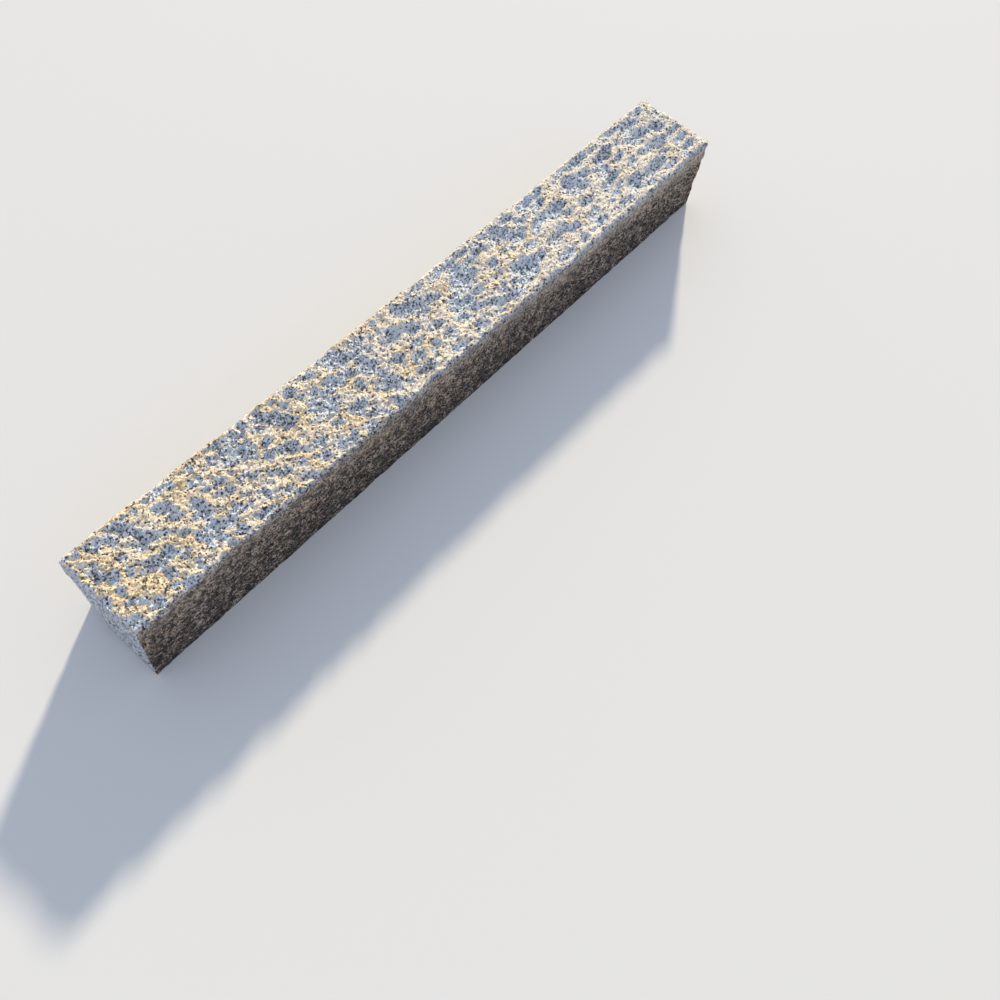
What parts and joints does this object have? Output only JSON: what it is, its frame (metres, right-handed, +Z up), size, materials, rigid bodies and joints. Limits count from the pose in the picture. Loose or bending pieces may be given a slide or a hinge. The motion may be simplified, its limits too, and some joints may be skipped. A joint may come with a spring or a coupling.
{
  "type": "granite kerb stone",
  "caption": "Long square-section kerb stone of yellow-grey granite with a point-hewn top, flat rough sides, flat ends and a flat bed.",
  "frame": {"origin": "middle of the flat bed that the stone lies on", "axes": "+X along the stone, away from the end with the broken foot corner; +Y towards the crisp, pitched long edge; +Z up from the bed to the hewn top"},
  "size_m": [1, 0.118, 0.12],
  "materials": {
    "granite": "point-hewn on top, fine pointed on the sides, matt"
  },
  "bodies": {
    "root": {"kerb_stone": "granite"}
  },
  "joints": []
}
